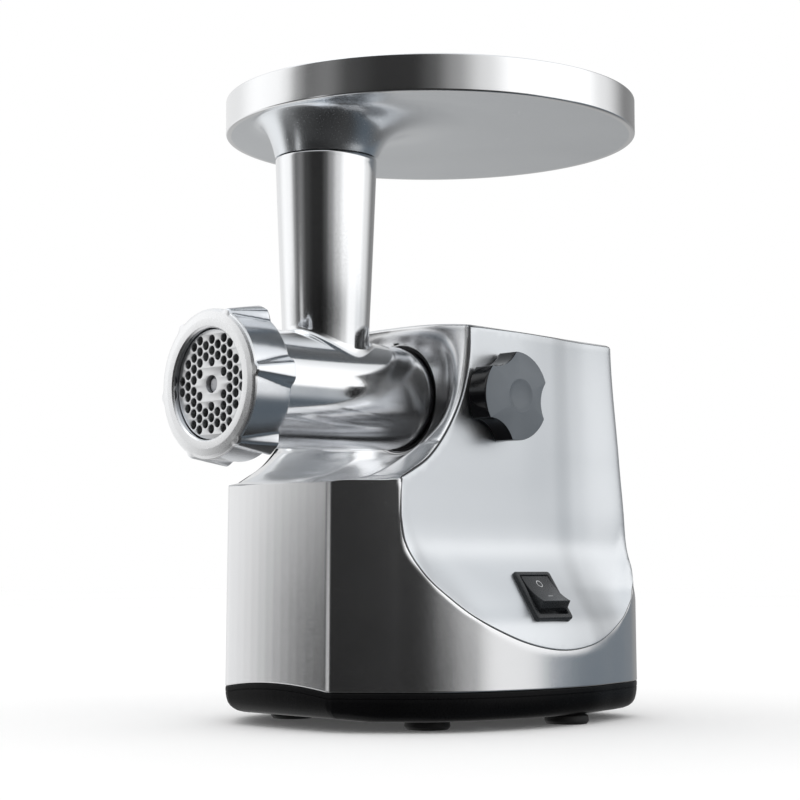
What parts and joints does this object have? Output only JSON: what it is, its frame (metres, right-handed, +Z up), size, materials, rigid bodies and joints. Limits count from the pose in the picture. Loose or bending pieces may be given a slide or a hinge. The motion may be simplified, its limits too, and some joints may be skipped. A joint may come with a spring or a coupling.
{
  "type": "electric meat grinder",
  "caption": "Countertop electric meat grinder: round tray on a feed tube, barrel with ring nut and screen plate, geared motor in a hollow silver body, lock knob and rocker.",
  "frame": {"origin": "centre of the bounding box, on the surface the feet stand on", "axes": "+Z up, the ring nut faces -Y, the lock knob and rocker are on +X"},
  "size_m": [0.222, 0.2625, 0.3313],
  "materials": {
    "shell": "silver, satin",
    "panel": "light blue-grey, satin",
    "base_black": "moulded",
    "foot_rubber": "moulded",
    "head_metal": "polished",
    "tray_metal": "polished rim, satin underside",
    "cutting_steel": "ground",
    "auger_metal": "cast",
    "knob": "glossy sides, satin face",
    "switch": "glossy",
    "dark_plastic": "moulded",
    "gearbox_metal": "die cast",
    "gear_nylon": "natural nylon",
    "steel": "machined",
    "core_iron": "laminated",
    "copper": "enamelled copper"
  },
  "bodies": {
    "base": {"main_housing": "shell", "right_side_cover": "panel", "left_side_cover": "panel", "rear_cover": "shell", "base_tray": "base_black", "foot_1": "foot_rubber", "foot_2": "foot_rubber", "foot_3": "foot_rubber", "foot_4": "foot_rubber", "socket_collar": "dark_plastic", "switch_body": "switch", "cord_gland": "dark_plastic", "base_screw_1": "steel", "base_screw_2": "steel", "base_screw_3": "steel", "base_screw_4": "steel", "gearbox_case": "gearbox_metal", "gearbox_cover": "gearbox_metal", "output_bearing": "steel", "motor_stator": "core_iron", "field_coil_left": "copper", "field_coil_right": "copper", "motor_bracket_front": "steel", "motor_bracket_rear": "steel", "motor_bearing_front": "steel", "motor_bearing_rear": "steel", "brush_holder_left": "dark_plastic", "brush_holder_right": "dark_plastic", "terminal_block": "dark_plastic", "gearbox_screw_1": "steel", "gearbox_screw_2": "steel", "gearbox_screw_3": "steel", "gearbox_screw_4": "steel"},
    "head": {"head_casting": "head_metal", "screen_plate": "cutting_steel"},
    "ring_nut": {"ring_nut": "head_metal"},
    "auger": {"auger": "auger_metal", "knife": "cutting_steel"},
    "tray": {"feed_tray": "tray_metal"},
    "lock_knob": {"lock_knob": "knob", "lock_spindle": "steel"},
    "rocker": {"rocker_key": "switch"},
    "output": {"output_shaft": "steel", "output_gear": "steel"},
    "gear_b": {"gear_b": "gear_nylon"},
    "gear_a": {"gear_a": "gear_nylon"},
    "rotor": {"rotor_shaft": "steel", "rotor_core": "core_iron", "commutator": "copper", "motor_pinion": "steel", "cooling_fan": "dark_plastic"}
  },
  "joints": [
    {"name": "head_slide", "type": "slide", "parent": "base", "child": "head", "axis": [0, -1, 0], "range_m": [0, 0.06]},
    {"name": "ring_nut_off", "type": "slide", "parent": "head", "child": "ring_nut", "axis": [0, -1, 0], "range_m": [0, 0.035]},
    {"name": "tray_lift", "type": "slide", "parent": "head", "child": "tray", "axis": [0, 0, 1], "range_m": [0, 0.045]},
    {"name": "lock_knob_turn", "type": "hinge", "parent": "base", "child": "lock_knob", "pos_m": [0.0666, 0.0044, 0.166], "axis": [1, 0, 0], "range_deg": [0, 90]},
    {"name": "rocker_tilt", "type": "hinge", "parent": "base", "child": "rocker", "pos_m": [0.0806, 0.0199, 0.0646], "axis": [0, 1, 0], "range_deg": [0, 32]},
    {"name": "auger_spin", "type": "hinge", "parent": "head", "child": "auger", "pos_m": [0, 0.0199, 0.169], "axis": [0, 1, 0], "continuous": true},
    {"name": "output_spin", "type": "hinge", "parent": "base", "child": "output", "pos_m": [0, 0.0199, 0.169], "axis": [0, 1, 0], "continuous": true},
    {"name": "gear_b_spin", "type": "hinge", "parent": "base", "child": "gear_b", "pos_m": [-0.00899, 0.0199, 0.13725], "axis": [0, 1, 0], "continuous": true},
    {"name": "gear_a_spin", "type": "hinge", "parent": "base", "child": "gear_a", "pos_m": [0.012, 0.0199, 0.1141], "axis": [0, 1, 0], "continuous": true},
    {"name": "rotor_spin", "type": "hinge", "parent": "base", "child": "rotor", "pos_m": [0, 0.0199, 0.085], "axis": [0, 1, 0], "continuous": true}
  ],
  "couplings": [
    {"joint": "output_spin", "follows": "auger_spin", "ratio": 1},
    {"joint": "gear_b_spin", "follows": "auger_spin", "ratio": -3},
    {"joint": "gear_a_spin", "follows": "auger_spin", "ratio": 12},
    {"joint": "rotor_spin", "follows": "auger_spin", "ratio": -72}
  ]
}
